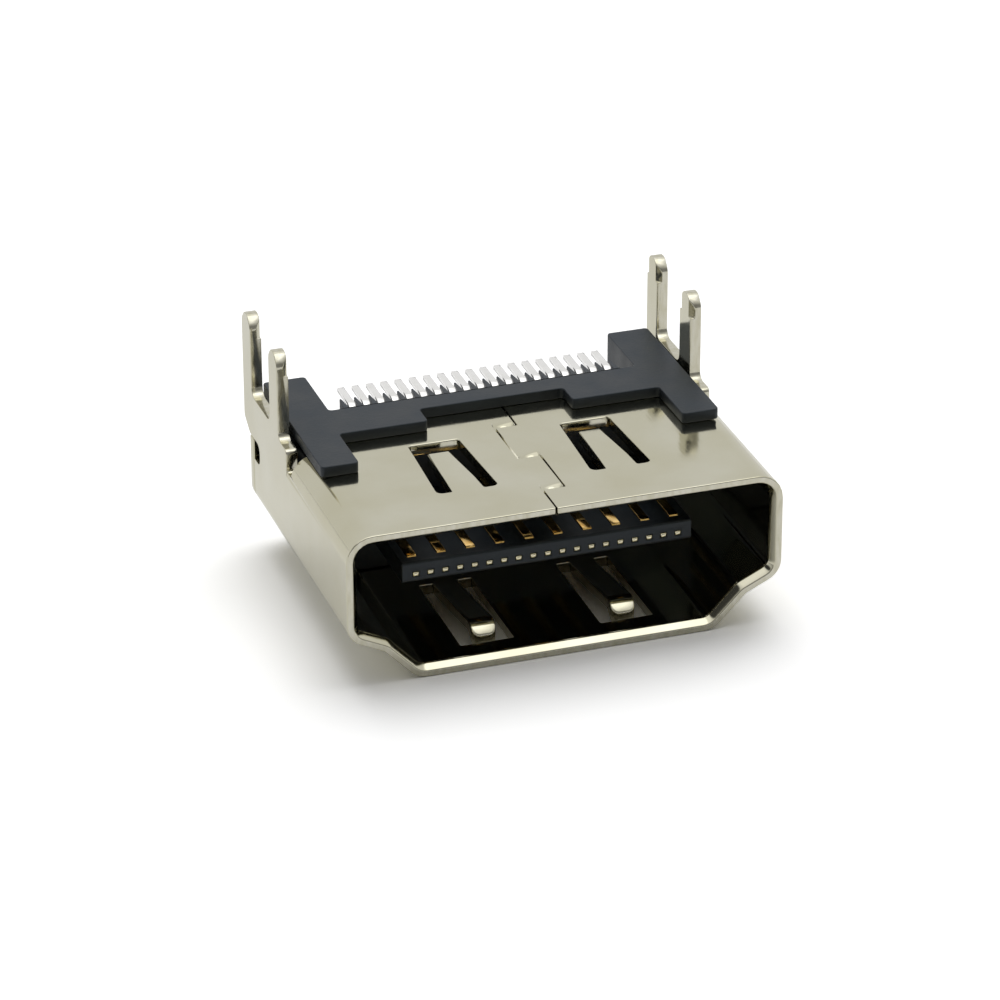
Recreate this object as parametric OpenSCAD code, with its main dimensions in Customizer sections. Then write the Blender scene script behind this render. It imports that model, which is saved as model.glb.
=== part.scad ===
// Board-mounted video socket lying on its narrow face with its legs up.
// One folded metal shell, one insulating moulding and nineteen formed contacts.
// X runs across the mouth, the mouth faces -Y and the circuit board side faces +Z.
// Lengths along Y in the sections below are measured back from the rim of the mouth.

/* [Mouth] */
// Clear width between the side walls
mouth_w = 14; // [13.8:0.05:14.4]
// Clear height from floor to roof
mouth_h = 4.55; // [4.4:0.05:4.8]
// Clear width of the floor, the narrow face away from the board
floor_w = 9.8; // [9.4:0.1:10.2]
// Clear width at the knee between the two slopes of each side
knee_w = 11.88; // [11.6:0.02:12.2]
// Height of the knee above the floor
knee_h = 1.08; // [0.9:0.02:1.2]
// Height above the floor at which the side walls turn upright
side_h = 1.58; // [1.5:0.02:1.8]
// Inside radius of the roof corners
roof_r = 0.5; // [0.3:0.05:0.6]
// Inside radius of the floor corners
floor_r = 0.4; // [0.2:0.05:0.6]
// Inside radius of the knees
knee_r = 0.8; // [0.7:0.05:1]
// Inside radius of the corners below the side walls
side_r = 0.35; // [0.2:0.05:0.5]
// Length of the lead-in chamfer round the rim
lead_l = 0.25; // [0.1:0.05:0.4]
// Width of the lead-in chamfer across the sheet
lead_w = 0.18; // [0.1:0.02:0.24]

/* [Shell] */
// Thickness of the folded sheet
sheet = 0.4; // [0.3:0.02:0.45]
// Length of the floor and side walls
side_l = 10.65; // [10.4:0.05:10.8]
// Length of the rounded roof corners, in front of the legs
corner_l = 6.3; // [6.1:0.05:6.4]
// Distance from the side walls to the roof's edges behind its rounded corners
roof_step = 0.65; // [0.6:0.05:0.8]
// Width of the relief slot between a roof corner and the leg plate
relief_w = 0.4; // [0.2:0.02:0.5]
// Height of the relief slot's floor above the mouth's floor
relief_h = 4.2; // [4.1:0.05:4.3]
// Radius of the corners at the relief slot's floor
relief_r = 0.09; // [0.04:0.01:0.1]
// Height of the rear cover
cover_h = 4; // [3.6:0.1:4.2]
// Open joint between the side walls and the rear cover
cover_gap = 0.05; // [0.02:0.01:0.1]
// Outside radius of the bend from floor to rear cover
cover_r = 0.55; // [0.46:0.01:0.8]
// Distance from the floor's corners to the ends of that bend
cover_inset = 0.5; // [0.4:0.05:1]

/* [Roof seam] */
// Width of the joint line
seam_w = 0.06; // [0.04:0.01:0.1]
// Sideways swing of the joint line to each side of the middle
seam_swing = 0.38; // [0.2:0.02:0.6]
// Distance of the first jog from the rim
seam_first = 1.4; // [1.2:0.1:1.6]
// Distance between jogs
seam_pitch = 2.4; // [2.2:0.1:2.5]

/* [Springs] */
// Distance from the middle to each roof spring
roof_spring_x = 2.62; // [2.5:0.02:2.8]
// Width of a roof spring at its root, towards the mouth
roof_spring_root_w = 1.1; // [0.9:0.05:1.3]
// Width of a roof spring at its free end
roof_spring_tip_w = 0.75; // [0.5:0.05:0.9]
// Distance of a roof spring's root from the rim
roof_spring_root = 2.2; // [2:0.05:2.4]
// Length of a roof spring
roof_spring_l = 3.15; // [2.8:0.05:3.3]
// Drop of a roof spring's free end
roof_spring_drop = 0.14; // [0.05:0.01:0.3]
// Length of a roof spring's level part, at its root
roof_spring_flat = 0.8; // [0.5:0.05:1.2]
// Width of the slots round the springs
spring_slot = 0.48; // [0.3:0.02:0.5]
// Radius of the front corners of the slots in the roof
slot_front_r = 0.2; // [0.1:0.02:0.26]
// Radius of the rear corners of the slots in the roof
slot_rear_r = 0.1; // [0.05:0.01:0.2]
// Distance from the middle to each floor spring
floor_spring_x = 2.4; // [2.2:0.02:2.6]
// Width of a floor spring
floor_spring_w = 0.85; // [0.6:0.05:1]
// Distance of a floor spring's free end from the rim
floor_spring_tip = 1.2; // [1.1:0.05:1.4]
// Gap in front of a floor spring's free end
floor_spring_gap = 0.23; // [0.2:0.01:0.3]
// Distance of a floor spring's root from the rim
floor_spring_root = 5.4; // [5:0.1:5.8]
// Length of a floor spring's level part, at its root
floor_spring_flat = 0.2; // [0.1:0.05:0.4]
// Rise of a floor spring's crest
floor_spring_rise = 0.48; // [0.4:0.02:0.56]
// Rise of a floor spring's free end
floor_spring_lip = 0.06; // [0.02:0.02:0.1]
// Distance from a floor spring's free end to its crest
floor_spring_crest = 0.45; // [0.4:0.01:0.6]
// Radius of a floor spring's bends, on the centre of the sheet
floor_spring_r = 0.3; // [0.24:0.02:0.4]
// Radius of the corners at a floor spring's free end
floor_spring_tip_r = 0.26; // [0.1:0.02:0.28]

/* [Legs] */
// Width of each leg
leg_w = 0.98; // [0.8:0.02:1.1]
// Length of the shoulder between the relief slot and the front leg
shoulder_l = 0.89; // [0.7:0.01:1.2]
// Distance between the front and rear legs
leg_pitch = 3.17; // [3:0.01:3.4]
// Reach of the legs past the board seat
leg_reach = 2.65; // [2:0.05:3.4]
// Width of a leg's flat end
leg_tip_w = 0.36; // [0.34:0.02:0.5]
// Length of the taper at a leg's end
leg_taper = 0.34; // [0.3:0.02:0.5]
// Radius where a leg's edges run into the taper
leg_side_r = 0.4; // [0.2:0.02:0.44]
// Radius at both ends of a leg's flat end
leg_tip_r = 0.3; // [0.1:0.02:0.32]
// Radius at the foot of a leg, towards the shoulder
leg_root_r = 0.28; // [0.1:0.02:0.34]
// Radius of the two corners in the notch between the legs
notch_r = 0.34; // [0.1:0.02:0.4]
// Radius of the shoulder's front corner
shoulder_r = 0.16; // [0.05:0.01:0.2]
// Width of the bevels on the inner edges of a leg's end
coin_w = 0.17; // [0.1:0.01:0.24]
// Length of those bevels
coin_l = 0.78; // [0.5:0.02:1]
// Drop of the notch between two legs below the board seat
notch_drop = 0.16; // [0.05:0.01:0.25]
// Drop of the shoulder in front of the legs below the board seat
shoulder_drop = 0.35; // [0.2:0.01:0.4]
// Height of the rear leg's heel above the rear cover
heel_h = 0.45; // [0.2:0.05:0.6]
// Length of the notch under the heel into the side wall
heel_notch = 0.7; // [0.5:0.05:0.9]
// Depth of that notch below the top of the rear cover
heel_drop = 0.7; // [0.6:0.05:0.9]
// Radius of that notch's inner corners
heel_notch_r = 0.28; // [0.1:0.02:0.32]
// Radius of the heel's rear corner
heel_r = 0.2; // [0.1:0.02:0.26]
// Radius of the heel's corner at the rear cover
heel_toe_r = 0.1; // [0.05:0.01:0.15]

/* [Housing] */
// Height of the board seat above the roof
seat_h = 0.39; // [0.3:0.01:0.5]
// Gap between the seat and the side wall or legs at each end
seat_gap = 0.14; // [0.1:0.02:0.24]
// Width of each front pad
pad_w = 1.28; // [1.1:0.02:1.5]
// Distance of the pads' front faces from the rim
pad_front = 4.45; // [4:0.05:5]
// Distance of the cross bar's front face from the rim
bar_front = 6.68; // [6.4:0.02:6.9]
// Width of the recess in the cross bar's front face
recess_w = 5.04; // [4.6:0.02:5.4]
// Depth of that recess
recess_l = 0.96; // [0.7:0.02:1.2]
// Length of the cross bar from front to rear
bar_l = 1.82; // [1.7:0.02:2]
// Length of the cross bar's solid part behind the roof
bar_back = 0.51; // [0.4:0.01:0.7]
// Gap from the last comb tooth to each rear ear
ear_space = 0.63; // [0.4:0.01:0.8]
// Reach of the ears behind the cross bar
ear_l = 2.8; // [2.4:0.05:2.9]
// Height of the ears' undersides above the rear cover
ear_lift = 0.14; // [0.1:0.02:0.4]
// Radius of the seat's outline corners
seat_r = 0.14; // [0.05:0.01:0.18]
// Length of the core from the cavity's back wall to its rear face
core_l = 2.3; // [1.9:0.05:2.6]
// Wall of the core behind the contacts
core_back = 0.5; // [0.3:0.05:0.6]
// Drop of the ledge behind the cross bar below the seat
ledge_drop = 0.44; // [0.38:0.02:0.6]
// Length of the comb teeth between the tails
comb_l = 0.8; // [0.4:0.02:0.84]
// Drop of the comb teeth below the seat
comb_drop = 0.03; // [0.02:0.01:0.1]
// Width of a comb tooth at its root
comb_w = 0.24; // [0.14:0.01:0.25]
// Width of a comb tooth at its tip
comb_tip_w = 0.06; // [0.05:0.01:0.1]
// Width of the tongue outside the last contact at each end
tongue_edge = 0.315; // [0.2:0.005:0.4]
// Thickness of the tongue
tongue_t = 0.72; // [0.66:0.02:0.8]
// Distance of the tongue's front face from the rim
tongue_front = 1.91; // [1.8:0.02:2.2]
// Height of the tongue's underside above the mouth's floor
tongue_h = 2.05; // [1.9:0.02:2.2]
// Chamfer along the tongue's front edges
tongue_bevel = 0.07; // [0.04:0.01:0.1]

/* [Contacts] */
// Distance between neighbouring contacts
pitch = 0.5; // [0.46:0.01:0.52]
// Width of a contact strip
strip_w = 0.31; // [0.26:0.01:0.32]
// Width of a contact's tail
tail_w = 0.24; // [0.2:0.01:0.3]
// Thickness of a contact strip
strip_t = 0.16; // [0.12:0.01:0.18]
// Height of a contact's face above the tongue's face
strip_proud = 0.03; // [0.01:0.01:0.05]
// Distance from the tongue's front face to the start of a strip
strip_start = 0.5; // [0.4:0.02:0.6]
// Length of the slope from a contact's cut tip to its strip
step_l = 0.25; // [0.2:0.01:0.3]
// Width of a contact's cut tip on the tongue's front face
tip_w = 0.21; // [0.15:0.01:0.26]
// Height of the cut tips above the tongue's underside
tip_h = 0.28; // [0.24:0.01:0.36]
// How far the cut tips stand out of the tongue's front face
tip_proud = 0.02; // [0.01:0.01:0.05]
// Gap from the cross bar to the rising part of a contact
riser_gap = 0.14; // [0.1:0.01:0.2]
// Length of a tail from the rising part to its end
tail_l = 1.38; // [1.1:0.02:1.6]
// Radius of the bends, on the centre of the strip
bend_r = 0.2; // [0.14:0.01:0.24]

/* [Fits] */
// Clearance between the housing and the shell
shell_fit = 0.04; // [0.02:0.01:0.06]
// Clearance between the seat and the roof under it
seat_fit = 0.01; // [0.005:0.005:0.03]
// Clearance between a contact and its channel
contact_fit = 0.01; // [0.005:0.005:0.02]

/* [Hidden] */
contact_count = 19;
arc_steps = 6;
// Overrun of a cut past the face that it opens
cut = 1;
sheet_color = [0.78, 0.77, 0.71];
moulding_color = [0.16, 0.17, 0.19];
contact_color = [0.86, 0.72, 0.42];

roof_z = sheet + mouth_h;
top_z = roof_z + sheet;
seat_z = top_z + seat_h;
corner_z = roof_z - roof_r;
half_w = mouth_w / 2;
plate_front = corner_l + relief_w;
roof_rear_w = mouth_w - 2 * roof_step;
cover_front = side_l + cover_gap;
cover_rear = cover_front + sheet;
leg_front = plate_front + shoulder_l + leg_w / 2;
leg_rear = leg_front + leg_pitch;
depth = max(leg_rear + leg_w / 2, cover_rear);
leg_tip_z = seat_z + leg_reach;
tongue_w = (contact_count - 1) * pitch + strip_w + 2 * tongue_edge;
tongue_z = sheet + tongue_h;
tongue_top = tongue_z + tongue_t;
seat_w = mouth_w - 2 * seat_gap;
pad_gap = seat_w - 2 * pad_w;
recess_front = bar_front + recess_l;
bar_rear = bar_front + bar_l;
roof_l = bar_rear - bar_back - shell_fit;
riser_y = bar_rear + riser_gap + strip_t / 2;
tail_end = riser_y + tail_l;
core_rear = riser_y + strip_t / 2 + core_back;
core_front = core_rear - core_l;
ear_gap = contact_count * pitch + 2 * ear_space;
ear_rear = bar_rear + ear_l;
ear_z = cover_h + ear_lift;

function contact_name(i) = str("contact_", i < 10 ? "0" : "", i);
function contact_x(i) = (i - (contact_count + 1) / 2) * pitch;

// Unit vector from point a to point b
function heading(a, b) = (b - a) / norm(b - a);
function turned_right(v) = [v[1], -v[0]];
function turned_by(v, angle) = v * cos(angle) - turned_right(v) * sin(angle);
// Signed angle from heading u to heading v, positive to the left
function turn(u, v) = atan2(u[0] * v[1] - u[1] * v[0], u * v);

// Arc of radius r that rounds corner b of the path a, b, c
function corner_arc(a, b, c, r) =
    let (u = heading(a, b), v = heading(b, c), angle = turn(u, v), side = sign(angle))
    let (start = b - u * r * tan(abs(angle) / 2), arm = side * r * turned_right(u))
    [for (k = [0:arc_steps]) start - arm + turned_by(arm, angle * k / arc_steps)];

// Closed outline with every corner rounded by its own radius
function rounded(points, radii) =
    let (n = len(points))
    [for (i = [0:n - 1]) each corner_arc(points[(i + n - 1) % n], points[i], points[(i + 1) % n], radii[i])];

// Open path with its inner corners rounded
function rounded_path(points, r) =
    let (last = len(points) - 1)
    concat(
        [points[0]],
        [for (i = [1:last - 1]) each corner_arc(points[i - 1], points[i], points[i + 1], r)],
        [points[last]]
    );

// Counterclockwise outline moved outwards by d, edge by edge
function grown(points, d) =
    let (n = len(points))
    [for (i = [0:n - 1])
        let (before = turned_right(heading(points[(i + n - 1) % n], points[i])))
        let (after = turned_right(heading(points[i], points[(i + 1) % n])))
        points[i] + d * (before + after) / (1 + before * after)];

// Points of a path moved to its right by d
function beside(path, d) =
    let (last = len(path) - 1)
    [for (i = [0:last])
        let (before = turned_right(heading(path[max(i - 1, 0)], path[max(i, 1)])))
        let (after = turned_right(heading(path[min(i, last - 1)], path[min(i + 1, last)])))
        path[i] + d * (before + after) / (1 + before * after)];

// Side view of a bent strip of thickness t along a path
function strip(path, t) =
    let (left = beside(path, -t / 2))
    concat(beside(path, t / 2), [for (i = [len(left) - 1:-1:0]) left[i]]);

function mirrored(points) = [for (i = [len(points) - 1:-1:0]) [-points[i][0], points[i][1]]];

// Cross-section of the mouth in X and Z, grown outwards by d
function section(d) =
    let (right = [
        [floor_w / 2, sheet],
        [knee_w / 2, sheet + knee_h],
        [half_w, sheet + side_h],
        [half_w, roof_z]
    ])
    let (r = [floor_r + d, knee_r - d, side_r + d, roof_r + d])
    rounded(grown(concat(right, mirrored(right)), d), concat(r, [for (i = [3:-1:0]) r[i]]));

// Extrudes an X-Z outline along Y
module along_y(from, to) {
    translate([0, to, 0]) rotate([90, 0, 0]) linear_extrude(to - from) children();
}

// Extrudes a Y-Z outline along X
module along_x(from, to) {
    translate([from, 0, 0]) rotate([90, 0, 90]) linear_extrude(to - from) children();
}

// Extrudes an X-Y outline upwards
module upwards(from, to) {
    translate([0, 0, from]) linear_extrude(to - from) children();
}

module both_sides() {
    children();
    mirror([1, 0, 0]) children();
}

// Moves the part so that the middle of its length is at the origin
module placed() {
    translate([0, -depth / 2, 0]) children();
}

// Flared space in front of the mouth that cuts the lead-in chamfer
module lead_in() {
    front = section(2 * lead_w);
    rear = section(0);
    n = len(rear);
    polyhedron(
        points = concat([for (p = front) [p[0], -lead_l, p[1]]], [for (p = rear) [p[0], lead_l, p[1]]]),
        faces = concat(
            [[for (i = [n - 1:-1:0]) i], [for (i = [0:n - 1]) n + i]],
            [for (i = [0:n - 1]) [i, (i + 1) % n, n + (i + 1) % n, n + i]]
        )
    );
}

// Joint line of the roof, which swings from side to side and locks both edges
module seam() {
    sides = [-seam_swing, seam_swing, -seam_swing, seam_swing];
    last = len(sides) - 1;
    jogs = [for (k = [0:last - 1]) seam_first + k * seam_pitch];
    path = concat(
        [[sides[0], -cut]],
        [for (k = [0:last - 1]) each [[sides[k], jogs[k]], [sides[k + 1], jogs[k]]]],
        [[sides[last], roof_l + cut]]
    );
    upwards(roof_z - cut, top_z + cut) polygon(strip(path, seam_w));
}

// Plan of a spring that points back from its root, grown by d on its three free sides
function roof_spring_plan(d) = [
    [roof_spring_x - roof_spring_root_w / 2 - d, roof_spring_root],
    [roof_spring_x + roof_spring_root_w / 2 + d, roof_spring_root],
    [roof_spring_x + roof_spring_tip_w / 2 + d, roof_spring_root + roof_spring_l + d],
    [roof_spring_x - roof_spring_tip_w / 2 - d, roof_spring_root + roof_spring_l + d]
];

module roof_spring() {
    z = roof_z + sheet / 2;
    tip = roof_spring_root + roof_spring_l;
    bend = roof_spring_root + roof_spring_flat;
    path = [[roof_spring_root - spring_slot, z], [bend, z], [tip, z - roof_spring_drop]];
    intersection() {
        along_x(0, half_w) polygon(strip(path, sheet));
        upwards(0, top_z + cut) polygon(roof_spring_plan(0));
    }
}

module roof_spring_slot() {
    radii = [slot_front_r, slot_front_r, slot_rear_r, slot_rear_r];
    upwards(roof_z - cut, top_z + cut) polygon(rounded(roof_spring_plan(spring_slot), radii));
}

module floor_spring() {
    z = sheet / 2;
    crest = floor_spring_tip + floor_spring_crest;
    path = [
        [floor_spring_root + spring_slot, z],
        [floor_spring_root - floor_spring_flat, z],
        [crest, z + floor_spring_rise],
        [floor_spring_tip, z + floor_spring_lip]
    ];
    plan = [
        [floor_spring_x - floor_spring_w / 2, floor_spring_tip],
        [floor_spring_x + floor_spring_w / 2, floor_spring_tip],
        [floor_spring_x + floor_spring_w / 2, floor_spring_root + spring_slot],
        [floor_spring_x - floor_spring_w / 2, floor_spring_root + spring_slot]
    ];
    intersection() {
        along_x(0, half_w) polygon(strip(rounded_path(path, floor_spring_r), sheet));
        upwards(-cut, mouth_h) polygon(rounded(plan, [floor_spring_tip_r, floor_spring_tip_r, 0, 0]));
    }
}

module floor_spring_slot() {
    half = floor_spring_w / 2 + spring_slot;
    front = floor_spring_tip - floor_spring_gap;
    upwards(-cut, sheet + cut)
        translate([floor_spring_x - half, front]) square([2 * half, floor_spring_root - front]);
}

// Outline of one leg's taper, as points from its front to its rear edge
function leg_end(y) = [
    [y - leg_w / 2, leg_tip_z - leg_taper],
    [y - leg_tip_w / 2, leg_tip_z],
    [y + leg_tip_w / 2, leg_tip_z],
    [y + leg_w / 2, leg_tip_z - leg_taper]
];

// Side wall continued upwards as a fork of two legs, flush with the wall
module leg_fork() {
    shoulder_z = seat_z - shoulder_drop;
    notch_z = seat_z - notch_drop;
    outline = concat(
        [[plate_front, corner_z], [plate_front, shoulder_z], [leg_front - leg_w / 2, shoulder_z]],
        leg_end(leg_front),
        [[leg_front + leg_w / 2, notch_z], [leg_rear - leg_w / 2, notch_z]],
        leg_end(leg_rear),
        [
            [leg_rear + leg_w / 2, cover_h + heel_h],
            [cover_rear, cover_h + cover_gap],
            [side_l - heel_notch, cover_h + cover_gap]
        ]
    );
    end_r = [leg_side_r, leg_tip_r, leg_tip_r, leg_side_r];
    heel_radii = [heel_r, heel_toe_r, 0];
    radii = concat([0, shoulder_r, leg_root_r], end_r, [notch_r, notch_r], end_r, heel_radii);
    difference() {
        along_x(half_w, half_w + sheet) polygon(rounded(outline, radii));
        leg_coining();
    }
}

// Bevels along both inner edges of the legs' ends
module leg_coining() {
    for (y = [leg_front, leg_rear]) for (side = [-1, 1]) {
        edge = y + side * leg_w / 2;
        upwards(leg_tip_z - coin_l, leg_tip_z + cut) polygon([
            [half_w - cut, edge - side * (coin_w + cut)],
            [half_w + coin_w + cut, edge + side * cut],
            [half_w - cut, edge + side * cut]
        ]);
    }
}

// What the flat blank leaves out of the folded tube on the right side: the corner
// behind the relief slot, the slot itself and the notch under the heel
module wall_cuts() {
    far_y = depth + cut;
    far_x = half_w + sheet + cut;
    slot_z = sheet + relief_h;
    along_x(roof_rear_w / 2, far_x) polygon([
        [plate_front, corner_z],
        [far_y, corner_z],
        [far_y, top_z + cut],
        [plate_front, top_z + cut]
    ]);
    along_x(roof_rear_w / 2, far_x) polygon(rounded([
        [corner_l, slot_z],
        [plate_front, slot_z],
        [plate_front, top_z + cut],
        [corner_l, top_z + cut]
    ], [relief_r, relief_r, 0, 0]));
    along_x(half_w - cut, far_x) polygon(rounded([
        [side_l - heel_notch, cover_h - heel_drop],
        [far_y, cover_h - heel_drop],
        [far_y, cover_h + cover_gap],
        [side_l - heel_notch, cover_h + cover_gap]
    ], [heel_notch_r, 0, 0, heel_notch_r]));
}

// Rear cover folded up from the floor, with the outline of the shell above the bend
module rear_cover() {
    middle = sheet / 2;
    path = [[side_l - sheet, middle], [cover_rear - middle, middle], [cover_rear - middle, cover_h]];
    bend_w = floor_w - 2 * cover_inset;
    along_x(-bend_w / 2, bend_w / 2) polygon(strip(rounded_path(path, cover_r - middle), sheet));
    along_y(cover_front, cover_rear) intersection() {
        polygon(section(sheet));
        translate([-half_w - sheet, cover_r]) square([mouth_w + 2 * sheet, cover_h - cover_r]);
    }
}

module shell() {
    color(sheet_color) placed() {
        difference() {
            along_y(0, side_l) polygon(section(sheet));
            along_y(-cut, side_l + cut) polygon(section(0));
            lead_in();
            seam();
            both_sides() {
                roof_spring_slot();
                floor_spring_slot();
                wall_cuts();
            }
            translate([-half_w, roof_l, corner_z]) cube([mouth_w, depth, mouth_h]);
        }
        both_sides() {
            roof_spring();
            floor_spring();
            leg_fork();
        }
        rear_cover();
    }
}

// Bent strip of contact i, from its cut tip to its tail, grown all round by d
module contact_solid(i, d) {
    x = contact_x(i);
    upper = i % 2 == 1;
    run_z = upper ? tongue_top + strip_proud - strip_t / 2 : tongue_z - strip_proud + strip_t / 2;
    tip_z = tongue_z + tip_h;
    tail_z = seat_z - strip_t / 2;
    start = tongue_front + strip_start;
    neck_z = seat_z - ledge_drop - strip_t;
    step = [start - step_l, tip_z];
    run = rounded_path([[start, run_z], [riser_y, run_z], [riser_y, neck_z]], bend_r);
    tail = rounded_path([[riser_y, neck_z - strip_t], [riser_y, tail_z], [tail_end, tail_z]], bend_r);
    along_x(x - strip_w / 2 - d, x + strip_w / 2 + d)
        polygon(strip(concat([step], run), strip_t + 2 * d));
    along_x(x - tail_w / 2 - d, x + tail_w / 2 + d) polygon(strip(tail, strip_t + 2 * d));
    along_x(x - tip_w / 2 - d, x + tip_w / 2 + d)
        polygon(strip([[tongue_front - tip_proud - d, tip_z], step + [strip_t, 0]], strip_t + 2 * d));
}

module contact(i) {
    color(contact_color) placed() contact_solid(i, 0);
}

// Plan of the board seat: cross bar with its recess, two pads in front, two ears behind
function seat_plan() =
    let (right = [
        [recess_w / 2, recess_front],
        [recess_w / 2, bar_front],
        [pad_gap / 2, bar_front],
        [pad_gap / 2, pad_front],
        [seat_w / 2, pad_front],
        [seat_w / 2, ear_rear],
        [ear_gap / 2, ear_rear],
        [ear_gap / 2, bar_rear]
    ])
    let (outline = concat(right, mirrored(right)))
    rounded(outline, [for (p = outline) seat_r]);

module tongue() {
    rear = core_front + shell_fit;
    along_x(-tongue_w / 2, tongue_w / 2) polygon([
        [tongue_front, tongue_z + tongue_bevel],
        [tongue_front + tongue_bevel, tongue_z],
        [rear, tongue_z],
        [rear, tongue_top],
        [tongue_front + tongue_bevel, tongue_top],
        [tongue_front, tongue_top - tongue_bevel]
    ]);
}

// Teeth that part the tails behind the cross bar
module comb() {
    for (i = [0:contact_count]) {
        x = contact_x(i) + pitch / 2;
        upwards(seat_z - ledge_drop - shell_fit, seat_z - comb_drop) polygon([
            [x - comb_w / 2, bar_rear - shell_fit],
            [x + comb_w / 2, bar_rear - shell_fit],
            [x + comb_tip_w / 2, bar_rear + comb_l],
            [x - comb_tip_w / 2, bar_rear + comb_l]
        ]);
    }
}

module housing() {
    behind_roof = roof_l + shell_fit;
    color(moulding_color) placed() difference() {
        union() {
            along_y(core_front, core_rear) polygon(section(-shell_fit));
            translate([-seat_w / 2, behind_roof, corner_z])
                cube([seat_w, core_rear - behind_roof, seat_z - ledge_drop - corner_z]);
            upwards(top_z + seat_fit, seat_z) polygon(seat_plan());
            upwards(ear_z, seat_z) intersection() {
                polygon(seat_plan());
                translate([-seat_w / 2, behind_roof]) square([seat_w, depth]);
            }
            tongue();
            comb();
        }
        for (i = [1:contact_count]) contact_solid(i, contact_fit);
    }
}

shell();
housing();
for (i = [1:contact_count]) contact(i);
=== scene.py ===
import math

import bmesh
import bpy
from mathutils import Matrix, Vector


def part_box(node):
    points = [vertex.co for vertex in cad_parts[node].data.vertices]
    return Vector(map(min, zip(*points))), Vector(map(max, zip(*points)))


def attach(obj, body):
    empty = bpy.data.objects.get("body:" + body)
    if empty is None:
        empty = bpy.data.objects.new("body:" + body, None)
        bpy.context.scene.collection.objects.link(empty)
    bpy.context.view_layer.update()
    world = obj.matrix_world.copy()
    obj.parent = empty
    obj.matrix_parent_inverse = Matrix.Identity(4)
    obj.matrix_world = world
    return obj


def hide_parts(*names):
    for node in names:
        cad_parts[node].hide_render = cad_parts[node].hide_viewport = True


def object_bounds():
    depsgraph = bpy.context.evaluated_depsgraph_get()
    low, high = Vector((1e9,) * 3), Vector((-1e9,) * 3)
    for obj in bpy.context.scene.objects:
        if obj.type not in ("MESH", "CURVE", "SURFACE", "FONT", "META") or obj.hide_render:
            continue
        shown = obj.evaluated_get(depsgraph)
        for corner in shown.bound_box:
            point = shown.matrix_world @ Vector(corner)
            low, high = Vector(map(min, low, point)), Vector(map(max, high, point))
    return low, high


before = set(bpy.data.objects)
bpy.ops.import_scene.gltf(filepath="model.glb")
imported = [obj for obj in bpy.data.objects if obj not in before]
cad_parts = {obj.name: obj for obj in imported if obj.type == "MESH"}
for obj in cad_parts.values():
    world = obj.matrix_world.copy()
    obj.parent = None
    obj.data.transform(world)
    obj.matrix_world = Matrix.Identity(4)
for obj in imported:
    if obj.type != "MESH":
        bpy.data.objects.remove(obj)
cad_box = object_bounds()

MM = 0.001

# Places that the edges and finishes follow, with the floor of the socket at zero height
RIM_Y = cad_box[0].y
HALF_WIDTH = cad_box[1].x
SHEET = 0.4 * MM
MOUTH_HEIGHT = 4.55 * MM
ROOF_TOP = MOUTH_HEIGHT + 2 * SHEET
LEG_INSIDE = HALF_WIDTH - SHEET
LEG_PLATE_FOOT = ROOF_TOP - 1.2 * MM
COVER_FRONT = RIM_Y + 10.4 * MM
SEAM_REACH = 0.45 * MM
# Places along a contact, from its cut tip to the start of its tail
TONGUE_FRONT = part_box("housing")[0].y
TIP_END = TONGUE_FRONT + 0.05 * MM
TIP_FADE = 0.05 * MM
STRIP_START = TONGUE_FRONT + 0.5 * MM
STRIP_CURVE = 0.7 * MM
TIN_START = RIM_Y + 8.07 * MM
TIN_FULL = RIM_Y + 8.47 * MM
# Two places this close are the same
TOUCH = 0.01 * MM

# Rolls of the shell's edges: rim outside and inside, legs, slots, seam, other cuts, and the seam's jogs
RIM_ROLL = 0.05 * MM
LIP_ROLL = 0.04 * MM
LEG_ROLL = 0.025 * MM
SLOT_ROLL = 0.12 * MM
SEAM_ROLL = 0.012 * MM
CUT_ROLL = 0.05 * MM
WIDEST_ROLL = 0.35 * MM
# Rolls of the moulding and the contacts
MOULDED_ROLL = 0.035 * MM
TIP_ROLL = 0.06 * MM
STRIP_ROLL = 0.02 * MM
# Share of the room beside an edge that a roll may take, and that of a wide roll
ROOM_SHARE = 0.45
WIDE_ROOM_SHARE = 0.88
WIDE_ROLL = 0.1 * MM
# Steps smaller than this are closed before the edges are rolled over
SLIVER = 0.014 * MM

# Edges between these angles are rolled over, and flatter ones than the last are dissolved
SHARP_ANGLE = math.radians(28)
KNIFE_ANGLE = math.radians(150)
FLAT_ANGLE = math.radians(0.2)
# Cosines at which one edge goes on from another, or lies close beside it
GOES_ON = -0.8
BESIDE = 0.9
# How much of a face's normal lies along an axis
HARDLY = 0.01
PARTLY = 0.4
MOSTLY = 0.9
NEARLY_ALL = 0.95

# Pattern scales for each millimetre: even, along the rolled sheet, and down its punched edges
PER_MM = (1 / MM, 1 / MM, 1 / MM)
ROLLING = (9 / MM, 0.12 / MM, 9 / MM)
PUNCHED = (6 / MM, 6 / MM, 2 / MM)

# Colour sockets of the mix node
MIX_A, MIX_B, MIXED = 6, 7, 2

# Ways from the object to the bright back of the room, to its panel and to its dark card
BEHIND_AND_ABOVE = (0, 1, 0.9)
TO_PANEL = (0.2, -0.25, 0.947)
TO_CARD = (-0.783, -0.22, 0.582)
# The table's white to the eye, in a mirror and to what it lights, where the first is brighter than paper
TABLE_SHOWN = (1.35, 1.35, 1.35, 1)
TABLE_MIRRORED = (0.95, 0.95, 0.95, 1)
TABLE_LIT = (0.8, 0.8, 0.8, 1)

# Lamp above and behind the object, in metres and watts
LAMP_PLACE = Vector((0.06, 0.15, 0.4))
LAMP_AIM = Vector((0, 0.04, 0))
LAMP_SIZE = 0.4
LAMP_POWER = 1.3

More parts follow.
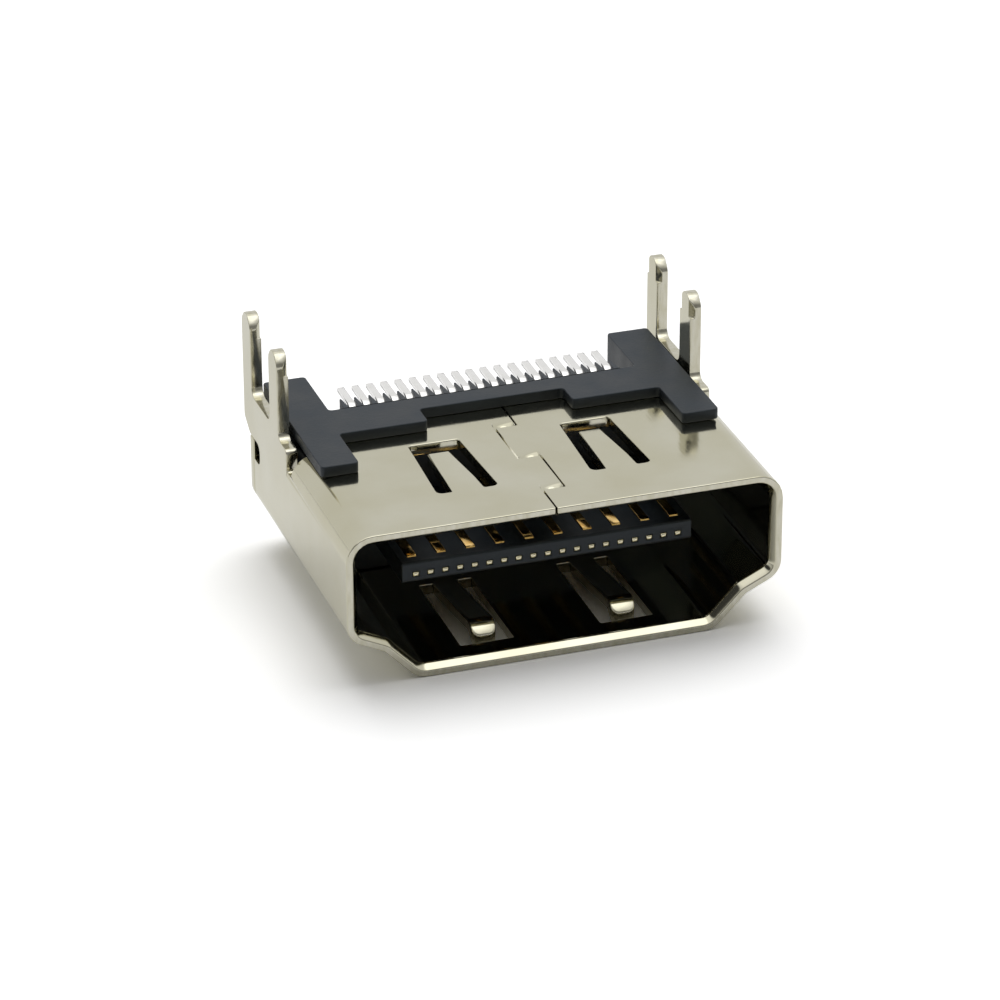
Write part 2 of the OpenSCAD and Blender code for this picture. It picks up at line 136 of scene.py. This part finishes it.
# Camera angles to the left of the mouth, above it and round the line of sight
CAMERA_AZIMUTH = math.radians(18.62)
CAMERA_ELEVATION = math.radians(26.56)
CAMERA_ROLL = math.radians(-0.16)
CAMERA_DISTANCE = 149.99 * MM
CAMERA_AIM = Vector((0, RIM_Y + 5 * MM, 4 * MM))
# How far the camera stands to the left of its aim and below it
CAMERA_LEFT = 0.57 * MM
CAMERA_DOWN = 0.71 * MM
SENSOR_WIDTH = 36
LENS_PER_SENSOR = 4.5592


def linear(hex_colour):
    """Linear colour of an sRGB hex value."""
    parts = [int(hex_colour[i:i + 2], 16) / 255 for i in (1, 3, 5)]
    return [c / 12.92 if c <= 0.04045 else ((c + 0.055) / 1.055) ** 2.4 for c in parts] + [1]


def add(tree, kind, settings=None, values=None, links=None):
    """Adds a node with its settings, its socket values and its links."""
    made = tree.nodes.new(kind)
    for name, value in (settings or {}).items():
        setattr(made, name, value)
    for name, value in (values or {}).items():
        made.inputs[name].default_value = value
    for name, (source, output) in (links or {}).items():
        tree.links.new(source.outputs[output], made.inputs[name])
    return made


def finish_named(name):
    """Empty node material of that name, with its tree."""
    material = bpy.data.materials.new(name)
    material.use_nodes = True
    material.node_tree.nodes.clear()
    return material, material.node_tree


def nickel_plate():
    """Bright nickel over rolled sheet: a warm mirror, slightly blurred, with faint rolling lines."""
    material, tree = finish_named("bright_nickel_plate")
    where = add(tree, "ShaderNodeTexCoord")
    place = add(tree, "ShaderNodeMapping", values={"Scale": PER_MM}, links={"Vector": (where, "Object")})
    # Patches of thicker and thinner plating, about 3 mm across
    patches = add(tree, "ShaderNodeTexNoise", values={"Scale": 0.35, "Detail": 3},
                  links={"Vector": (place, "Vector")})
    spread = add(tree, "ShaderNodeMapRange", values={"From Min": 0.35, "From Max": 0.7},
                 links={"Value": (patches, "Fac")})
    tint = add(tree, "ShaderNodeMix", {"data_type": "RGBA"},
               {MIX_A: linear("#C9C5AD"), MIX_B: linear("#D1CEBB")}, {"Factor": (spread, "Result")})
    # Handling haze, about 0.8 mm across
    haze = add(tree, "ShaderNodeTexNoise", values={"Scale": 1.2, "Detail": 4},
               links={"Vector": (place, "Vector")})
    gloss = add(tree, "ShaderNodeMapRange",
                values={"From Min": 0.3, "From Max": 0.75, "To Min": 0.07, "To Max": 0.14},
                links={"Value": (haze, "Fac")})
    # Rolling lines run from front to rear, drawn coarser than real so that they show
    lines = add(tree, "ShaderNodeMapping", values={"Scale": ROLLING}, links={"Vector": (where, "Object")})
    rolled = add(tree, "ShaderNodeTexNoise", values={"Scale": 1, "Detail": 2},
                 links={"Vector": (lines, "Vector")})
    ripple = add(tree, "ShaderNodeBump", values={"Strength": 0.05, "Distance": 0.02 * MM},
                 links={"Height": (rolled, "Fac")})
    surface = add(tree, "ShaderNodeBsdfPrincipled", values={"Metallic": 1},
                  links={"Base Color": (tint, MIXED), "Roughness": (gloss, "Result"),
                         "Normal": (ripple, "Normal")})
    add(tree, "ShaderNodeOutputMaterial", links={"Surface": (surface, "BSDF")})
    return material


def sheared_edge():
    """Cut edge of the plated sheet: drawn out by the punch, then plated, so it is wavy and still bright."""
    material, tree = finish_named("plated_sheared_edge")
    where = add(tree, "ShaderNodeTexCoord")
    # Draw marks of the punch, about 0.15 mm apart
    marks = add(tree, "ShaderNodeMapping", values={"Scale": PUNCHED}, links={"Vector": (where, "Object")})
    tear = add(tree, "ShaderNodeTexNoise", values={"Scale": 1, "Detail": 4},
               links={"Vector": (marks, "Vector")})
    spread = add(tree, "ShaderNodeMapRange", values={"From Min": 0.3, "From Max": 0.7},
                 links={"Value": (tear, "Fac")})
    tint = add(tree, "ShaderNodeMix", {"data_type": "RGBA"},
               {MIX_A: linear("#C6C2AC"), MIX_B: linear("#D8D5C6")}, {"Factor": (spread, "Result")})
    gloss = add(tree, "ShaderNodeMapRange",
                values={"From Min": 0.3, "From Max": 0.7, "To Min": 0.1, "To Max": 0.2},
                links={"Value": (tear, "Fac")})
    grain = add(tree, "ShaderNodeBump", values={"Strength": 0.12, "Distance": 0.02 * MM},
                links={"Height": (tear, "Fac")})
    surface = add(tree, "ShaderNodeBsdfPrincipled", values={"Metallic": 1},
                  links={"Base Color": (tint, MIXED), "Roughness": (gloss, "Result"),
                         "Normal": (grain, "Normal")})
    add(tree, "ShaderNodeOutputMaterial", links={"Surface": (surface, "BSDF")})
    return material


def black_moulding():
    """Glass-filled black moulding: near black with a blue-grey bloom and a fine matt grain."""
    material, tree = finish_named("glass_filled_moulding")
    where = add(tree, "ShaderNodeTexCoord")
    place = add(tree, "ShaderNodeMapping", values={"Scale": PER_MM}, links={"Vector": (where, "Object")})
    # Flow clouds, about 1 mm across
    bloom = add(tree, "ShaderNodeTexNoise", values={"Scale": 0.9, "Detail": 5},
                links={"Vector": (place, "Vector")})
    spread = add(tree, "ShaderNodeMapRange", values={"From Min": 0.3, "From Max": 0.75},
                 links={"Value": (bloom, "Fac")})
    tint = add(tree, "ShaderNodeMix", {"data_type": "RGBA"},
               {MIX_A: linear("#14181D"), MIX_B: linear("#20262D")}, {"Factor": (spread, "Result")})
    gloss = add(tree, "ShaderNodeMapRange",
                values={"From Min": 0.3, "From Max": 0.7, "To Min": 0.4, "To Max": 0.54},
                links={"Value": (bloom, "Fac")})
    # Glass fibres under the skin, drawn 0.1 mm across, coarser than real so that they show
    grain = add(tree, "ShaderNodeTexNoise", values={"Scale": 9, "Detail": 3},
                links={"Vector": (place, "Vector")})
    rough = add(tree, "ShaderNodeBump", values={"Strength": 0.25, "Distance": 0.02 * MM},
                links={"Height": (grain, "Fac")})
    surface = add(tree, "ShaderNodeBsdfPrincipled",
                  values={"IOR": 1.55, "Specular Tint": linear("#EEF7FC")},
                  links={"Base Color": (tint, MIXED), "Roughness": (gloss, "Result"),
                         "Normal": (rough, "Normal")})
    add(tree, "ShaderNodeOutputMaterial", links={"Surface": (surface, "BSDF")})
    return material


def gilded_contact():
    """Phosphor bronze strip, gold on the wiping end and bright tin on the soldering end."""
    material, tree = finish_named("gold_and_tin_strip")
    where = add(tree, "ShaderNodeTexCoord")
    place = add(tree, "ShaderNodeMapping", values={"Scale": PER_MM}, links={"Vector": (where, "Object")})
    along = add(tree, "ShaderNodeSeparateXYZ", links={"Vector": (place, "Vector")})
    # The tin starts where the strip rises behind the cross bar
    tinned = add(tree, "ShaderNodeMapRange",
                 values={"From Min": TIN_START / MM, "From Max": TIN_FULL / MM},
                 links={"Value": (along, "Y")})
    # Wear of the plating, about 0.3 mm across
    wear = add(tree, "ShaderNodeTexNoise", values={"Scale": 3, "Detail": 3},
               links={"Vector": (place, "Vector")})
    spread = add(tree, "ShaderNodeMapRange", values={"From Min": 0.3, "From Max": 0.7},
                 links={"Value": (wear, "Fac")})
    gold = add(tree, "ShaderNodeMix", {"data_type": "RGBA"},
               {MIX_A: linear("#DDAE62"), MIX_B: linear("#F2D596")}, {"Factor": (spread, "Result")})
    tin = add(tree, "ShaderNodeMix", {"data_type": "RGBA"},
              {MIX_A: linear("#F5F4F1"), MIX_B: linear("#FCFBF9")}, {"Factor": (spread, "Result")})
    # The cut tip shows the bare bronze. Its pale near-white colour is partly a painted highlight on the
    # domed tip.
    tip_highlight_mask = add(tree, "ShaderNodeMapRange",
              values={"From Min": TIP_END / MM, "From Max": (TIP_END + TIP_FADE) / MM},
              links={"Value": (along, "Y")})
    gold_and_tip_highlight = add(tree, "ShaderNodeMix", {"data_type": "RGBA"}, {MIX_A: linear("#EFE7C8")},
                {"Factor": (tip_highlight_mask, "Result"), MIX_B: (gold, MIXED)})
    colour = add(tree, "ShaderNodeMix", {"data_type": "RGBA"},
                 links={"Factor": (tinned, "Result"), MIX_A: (gold_and_tip_highlight, MIXED), MIX_B: (tin, MIXED)})
    gloss = add(tree, "ShaderNodeMapRange",
                values={"From Min": 0.3, "From Max": 0.7, "To Min": 0.09, "To Max": 0.14},
                links={"Value": (wear, "Fac")})
    # Towards its front end the strip curves down a little, so that the end shines
    lead = add(tree, "ShaderNodeMapRange",
               values={"From Min": STRIP_START / MM, "From Max": (STRIP_START + STRIP_CURVE) / MM,
                       "To Min": 1, "To Max": 0},
               links={"Value": (along, "Y")})
    drop = add(tree, "ShaderNodeMath", {"operation": "POWER"}, {1: 2}, {0: (lead, "Result")})
    curve = add(tree, "ShaderNodeBump", {"invert": True}, {"Strength": 1, "Distance": 0.1 * MM},
                {"Height": (drop, "Value")})
    surface = add(tree, "ShaderNodeBsdfPrincipled", values={"Metallic": 1},
                  links={"Base Color": (colour, MIXED), "Roughness": (gloss, "Result"),
                         "Normal": (curve, "Normal")})
    add(tree, "ShaderNodeOutputMaterial", links={"Surface": (surface, "BSDF")})
    return material


def turn_between(edge, other, corner):
    """Cosine of the angle that two edges make at their corner."""
    ways = [(e.other_vert(corner).co - corner.co).normalized() for e in (edge, other)]
    return ways[0].dot(ways[1])


def goes_on(edge, other, corner):
    """Whether two edges run on from each other through a corner without a sharp turn."""
    return turn_between(edge, other, corner) < GOES_ON


def is_pinched(edge, sharp):
    """Whether a longer sharp edge leaves one of the corners close beside this one."""
    for corner in edge.verts:
        longer = (e for e in corner.link_edges if e in sharp and e.calc_length() > edge.calc_length())
        if any(turn_between(edge, other, corner) > BESIDE for other in longer):
            return True
    return False


def edge_runs(edges):
    """Sharp edges gathered into runs that go on from each other."""
    sharp = set(edges)
    runs = []
    while sharp:
        run, waiting = [], [sharp.pop()]
        while waiting:
            edge = waiting.pop()
            run.append(edge)
            for corner in edge.verts:
                for other in corner.link_edges:
                    if other in sharp and goes_on(edge, other, corner):
                        sharp.discard(other)
                        waiting.append(other)
        runs.append(run)
    return runs


def room_beside(edge):
    """How far an edge can be rolled over before it reaches the far end of a neighbouring edge."""
    return min((other.calc_length() for corner in edge.verts for other in corner.link_edges
                if other is not edge and not goes_on(edge, other, corner)), default=1)


def roll_in_room(edge, width):
    """The width of a roll, or as much of it as the room beside the edge allows."""
    share = WIDE_ROOM_SHARE if width > WIDE_ROLL else ROOM_SHARE
    return min(width, share * room_beside(edge))


def softened(node, name, wanted, segments):
    """Copy of a solid whose sharp edges are rolled over, each by the width it wants where there is room."""
    mesh = bpy.data.meshes.new(name)
    bm = bmesh.new()
    bm.from_mesh(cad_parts[node].data)
    bmesh.ops.remove_doubles(bm, verts=bm.verts, dist=SLIVER)
    bmesh.ops.dissolve_limit(bm, angle_limit=FLAT_ANGLE, verts=bm.verts, edges=bm.edges, delimit=set())
    weight = bm.edges.layers.float.new("bevel_weight_edge")
    sharp = {e for e in bm.edges if e.is_manifold and SHARP_ANGLE < e.calc_face_angle() < KNIFE_ANGLE}
    for run in edge_runs(e for e in sharp if not is_pinched(e, sharp)):
        width = min(roll_in_room(edge, wanted(edge)) for edge in run)
        for edge in run:
            edge[weight] = width / WIDEST_ROLL
    for face in bm.faces:
        face.smooth = True
    bm.to_mesh(mesh)
    bm.free()
    piece = bpy.data.objects.new(name, mesh)
    bpy.context.scene.collection.objects.link(piece)
    roll = piece.modifiers.new("rolled_edges", "BEVEL")
    roll.limit_method = "WEIGHT"
    roll.width = WIDEST_ROLL
    roll.segments = segments
    roll.profile = 0.5
    roll.use_clamp_overlap = False
    roll.miter_outer = "MITER_ARC"
    even = piece.modifiers.new("even_shading", "WEIGHTED_NORMAL")
    even.keep_sharp = True
    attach(piece, "root")
    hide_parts(node)
    return piece


def shell_roll(edge):
    """The seam's jogs are rolled over most, then the front edges of the slots, then the other cut edges."""
    if all(v.co.y < RIM_Y + TOUCH for v in edge.verts):
        outside = any(abs(f.normal.y) < HARDLY for f in edge.link_faces)
        return RIM_ROLL if outside else LIP_ROLL
    if all(abs(v.co.x) > LEG_INSIDE - TOUCH and v.co.z > ROOF_TOP for v in edge.verts):
        return LEG_ROLL
    if all(abs(v.co.z - ROOF_TOP) < TOUCH for v in edge.verts):
        faces_front = any(f.normal.y < -MOSTLY for f in edge.link_faces)
        if all(abs(v.co.x) < SEAM_REACH for v in edge.verts):
            return WIDEST_ROLL if faces_front else SEAM_ROLL
        return SLOT_ROLL if faces_front else CUT_ROLL
    return CUT_ROLL


def is_cut(face):
    """Whether a face of the shell was sheared rather than rolled."""
    centre = face.calc_center_median()
    in_leg_plate = abs(centre.x) > LEG_INSIDE - TOUCH and centre.z > LEG_PLATE_FOOT
    if in_leg_plate:
        return abs(face.normal.x) < PARTLY
    if abs(centre.x) < LEG_INSIDE - SHEET and abs(face.normal.x) > MOSTLY:
        return True
    return abs(face.normal.y) > NEARLY_ALL and centre.y < COVER_FRONT


def make_shell(plate, edge):
    """Folded shell, plated all over, with its sheared edges in their own finish."""
    shell = softened("shell", "folded_shell", shell_roll, segments=3)
    shell.data.materials.append(plate)
    shell.data.materials.append(edge)
    bm = bmesh.new()
    bm.from_mesh(shell.data)
    for face in bm.faces:
        face.material_index = 1 if is_cut(face) else 0
    bm.to_mesh(shell.data)
    bm.free()


def make_moulding(finish):
    """Black moulding with the tongue, the core and the board seat."""
    moulding = softened("housing", "black_seat_and_tongue", lambda edge: MOULDED_ROLL, segments=2)
    moulding.data.materials.append(finish)


def contact_roll(edge):
    """A contact's cut tip is domed, its long edges are only broken."""
    at_tip = all(v.co.y < TONGUE_FRONT + TOUCH for v in edge.verts)
    return TIP_ROLL if at_tip else STRIP_ROLL


def make_contacts(finish):
    """The row of formed contacts."""
    for node in sorted(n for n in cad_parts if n.startswith("contact_")):
        strip = softened(node, "formed_" + node, contact_roll, segments=2)
        strip.data.materials.append(finish)


def make_floor():
    """White table that keeps the shadow and reads as pure white where it is lit."""
    bm = bmesh.new()
    bmesh.ops.create_grid(bm, x_segments=1, y_segments=1, size=1)
    mesh = bpy.data.meshes.new("white_table")
    bm.to_mesh(mesh)
    bm.free()
    floor = bpy.data.objects.new("white_table", mesh)
    bpy.context.scene.collection.objects.link(floor)
    material, tree = finish_named("white_table_paper")
    path = add(tree, "ShaderNodeLightPath")
    mirrored = add(tree, "ShaderNodeMath", {"operation": "MAXIMUM"},
                   links={0: (path, "Is Glossy Ray"), 1: (path, "Is Transmission Ray")})
    reflected = add(tree, "ShaderNodeMix", {"data_type": "RGBA"},
                    {MIX_A: TABLE_LIT, MIX_B: TABLE_MIRRORED}, {"Factor": (mirrored, "Value")})
    white = add(tree, "ShaderNodeMix", {"data_type": "RGBA"}, {MIX_B: TABLE_SHOWN},
                {"Factor": (path, "Is Camera Ray"), MIX_A: (reflected, MIXED)})
    paper = add(tree, "ShaderNodeBsdfDiffuse", links={"Color": (white, MIXED)})
    add(tree, "ShaderNodeOutputMaterial", links={"Surface": (paper, "BSDF")})
    floor.data.materials.append(material)


def make_surroundings():
    """White room that is dim in front, with a bright ceiling, a panel over the mouth and a dark card."""
    world = bpy.data.worlds.new("white_room")
    bpy.context.scene.world = world
    world.use_nodes = True
    tree = world.node_tree
    tree.nodes.clear()
    where = add(tree, "ShaderNodeTexCoord")
    backwards = add(tree, "ShaderNodeVectorMath", {"operation": "DOT_PRODUCT"}, {1: BEHIND_AND_ABOVE},
                    {0: (where, "Generated")})
    walls = add(tree, "ShaderNodeMapRange",
                values={"From Min": -0.45, "From Max": 0.2, "To Min": 0.3, "To Max": 0.98},
                links={"Value": (backwards, "Value")})
    axis = add(tree, "ShaderNodeSeparateXYZ", links={"Vector": (where, "Generated")})
    ceiling = add(tree, "ShaderNodeMapRange", values={"From Min": 0.72, "From Max": 0.88, "To Max": 0.45},
                  links={"Value": (axis, "Z")})
    # Bright panel high in front, which lights the mouth's lip and the rolled edges
    towards = add(tree, "ShaderNodeVectorMath", {"operation": "DOT_PRODUCT"}, {1: TO_PANEL},
                  {0: (where, "Generated")})
    panel = add(tree, "ShaderNodeMapRange", values={"From Min": 0.927, "From Max": 0.97, "To Max": 0.9},
                links={"Value": (towards, "Value")})
    above = add(tree, "ShaderNodeMath", {"operation": "ADD"},
                links={0: (ceiling, "Result"), 1: (panel, "Result")})
    bright = add(tree, "ShaderNodeMath", {"operation": "ADD"},
                 links={0: (walls, "Result"), 1: (above, "Value")})
    # Small dark card to the left, which the right-hand slopes of the lip mirror
    across = add(tree, "ShaderNodeVectorMath", {"operation": "DOT_PRODUCT"}, {1: TO_CARD},
                 {0: (where, "Generated")})
    card = add(tree, "ShaderNodeMapRange",
               values={"From Min": 0.955, "From Max": 0.98, "To Min": 1, "To Max": 0.06},
               links={"Value": (across, "Value")})
    mirrored = add(tree, "ShaderNodeMath", {"operation": "MULTIPLY"},
                   links={0: (bright, "Value"), 1: (card, "Result")})
    # Soft light on what isn't a mirror
    fill = add(tree, "ShaderNodeMapRange",
               values={"From Min": -0.1, "From Max": 0.6, "To Min": 0.01, "To Max": 0.6},
               links={"Value": (backwards, "Value")})
    path = add(tree, "ShaderNodeLightPath")
    room = add(tree, "ShaderNodeMix",
               links={"Factor": (path, "Is Glossy Ray"), "A": (fill, "Result"), "B": (mirrored, "Value")})
    shown = add(tree, "ShaderNodeMix", values={"B": 1},
                links={"Factor": (path, "Is Camera Ray"), "A": (room, "Result")})
    light = add(tree, "ShaderNodeBackground", links={"Strength": (shown, "Result")})
    add(tree, "ShaderNodeOutputWorld", links={"Surface": (light, "Background")})


def make_lamp():
    """Large soft lamp above and behind, which throws the shadow forwards."""
    lamp = bpy.data.lights.new("overhead_softbox", "AREA")
    lamp.shape = "SQUARE"
    lamp.size = LAMP_SIZE
    lamp.energy = LAMP_POWER
    holder = bpy.data.objects.new("overhead_softbox", lamp)
    holder.location = LAMP_PLACE
    holder.rotation_euler = (LAMP_AIM - LAMP_PLACE).to_track_quat("-Z", "Y").to_euler()
    # The bright metal mirrors the room and not the lamp's square
    holder.visible_glossy = False
    bpy.context.scene.collection.objects.link(holder)


def make_camera():
    """Camera solved from the mouth's size: to the left of the mouth and above it."""
    level_reach = math.cos(CAMERA_ELEVATION)
    back = Vector((-math.sin(CAMERA_AZIMUTH) * level_reach, -math.cos(CAMERA_AZIMUTH) * level_reach,
                   math.sin(CAMERA_ELEVATION)))
    level = (-back).cross(Vector((0, 0, 1))).normalized()
    rise = level.cross(-back)
    right = math.cos(CAMERA_ROLL) * level + math.sin(CAMERA_ROLL) * rise
    up = -math.sin(CAMERA_ROLL) * level + math.cos(CAMERA_ROLL) * rise
    place = CAMERA_AIM + back * CAMERA_DISTANCE - right * CAMERA_LEFT - up * CAMERA_DOWN
    data = bpy.data.cameras.new("camera")
    data.sensor_width = SENSOR_WIDTH
    data.lens = SENSOR_WIDTH * LENS_PER_SENSOR
    data.clip_start = 10 * MM
    camera = bpy.data.objects.new("camera", data)
    camera.matrix_world = Matrix.Translation(place) @ Matrix((right, up, back)).transposed().to_4x4()
    bpy.context.scene.collection.objects.link(camera)
    bpy.context.scene.camera = camera


make_camera()
make_shell(nickel_plate(), sheared_edge())
make_moulding(black_moulding())
make_contacts(gilded_contact())
make_floor()
make_surroundings()
make_lamp()

bpy.context.scene.view_settings.view_transform = "Standard"
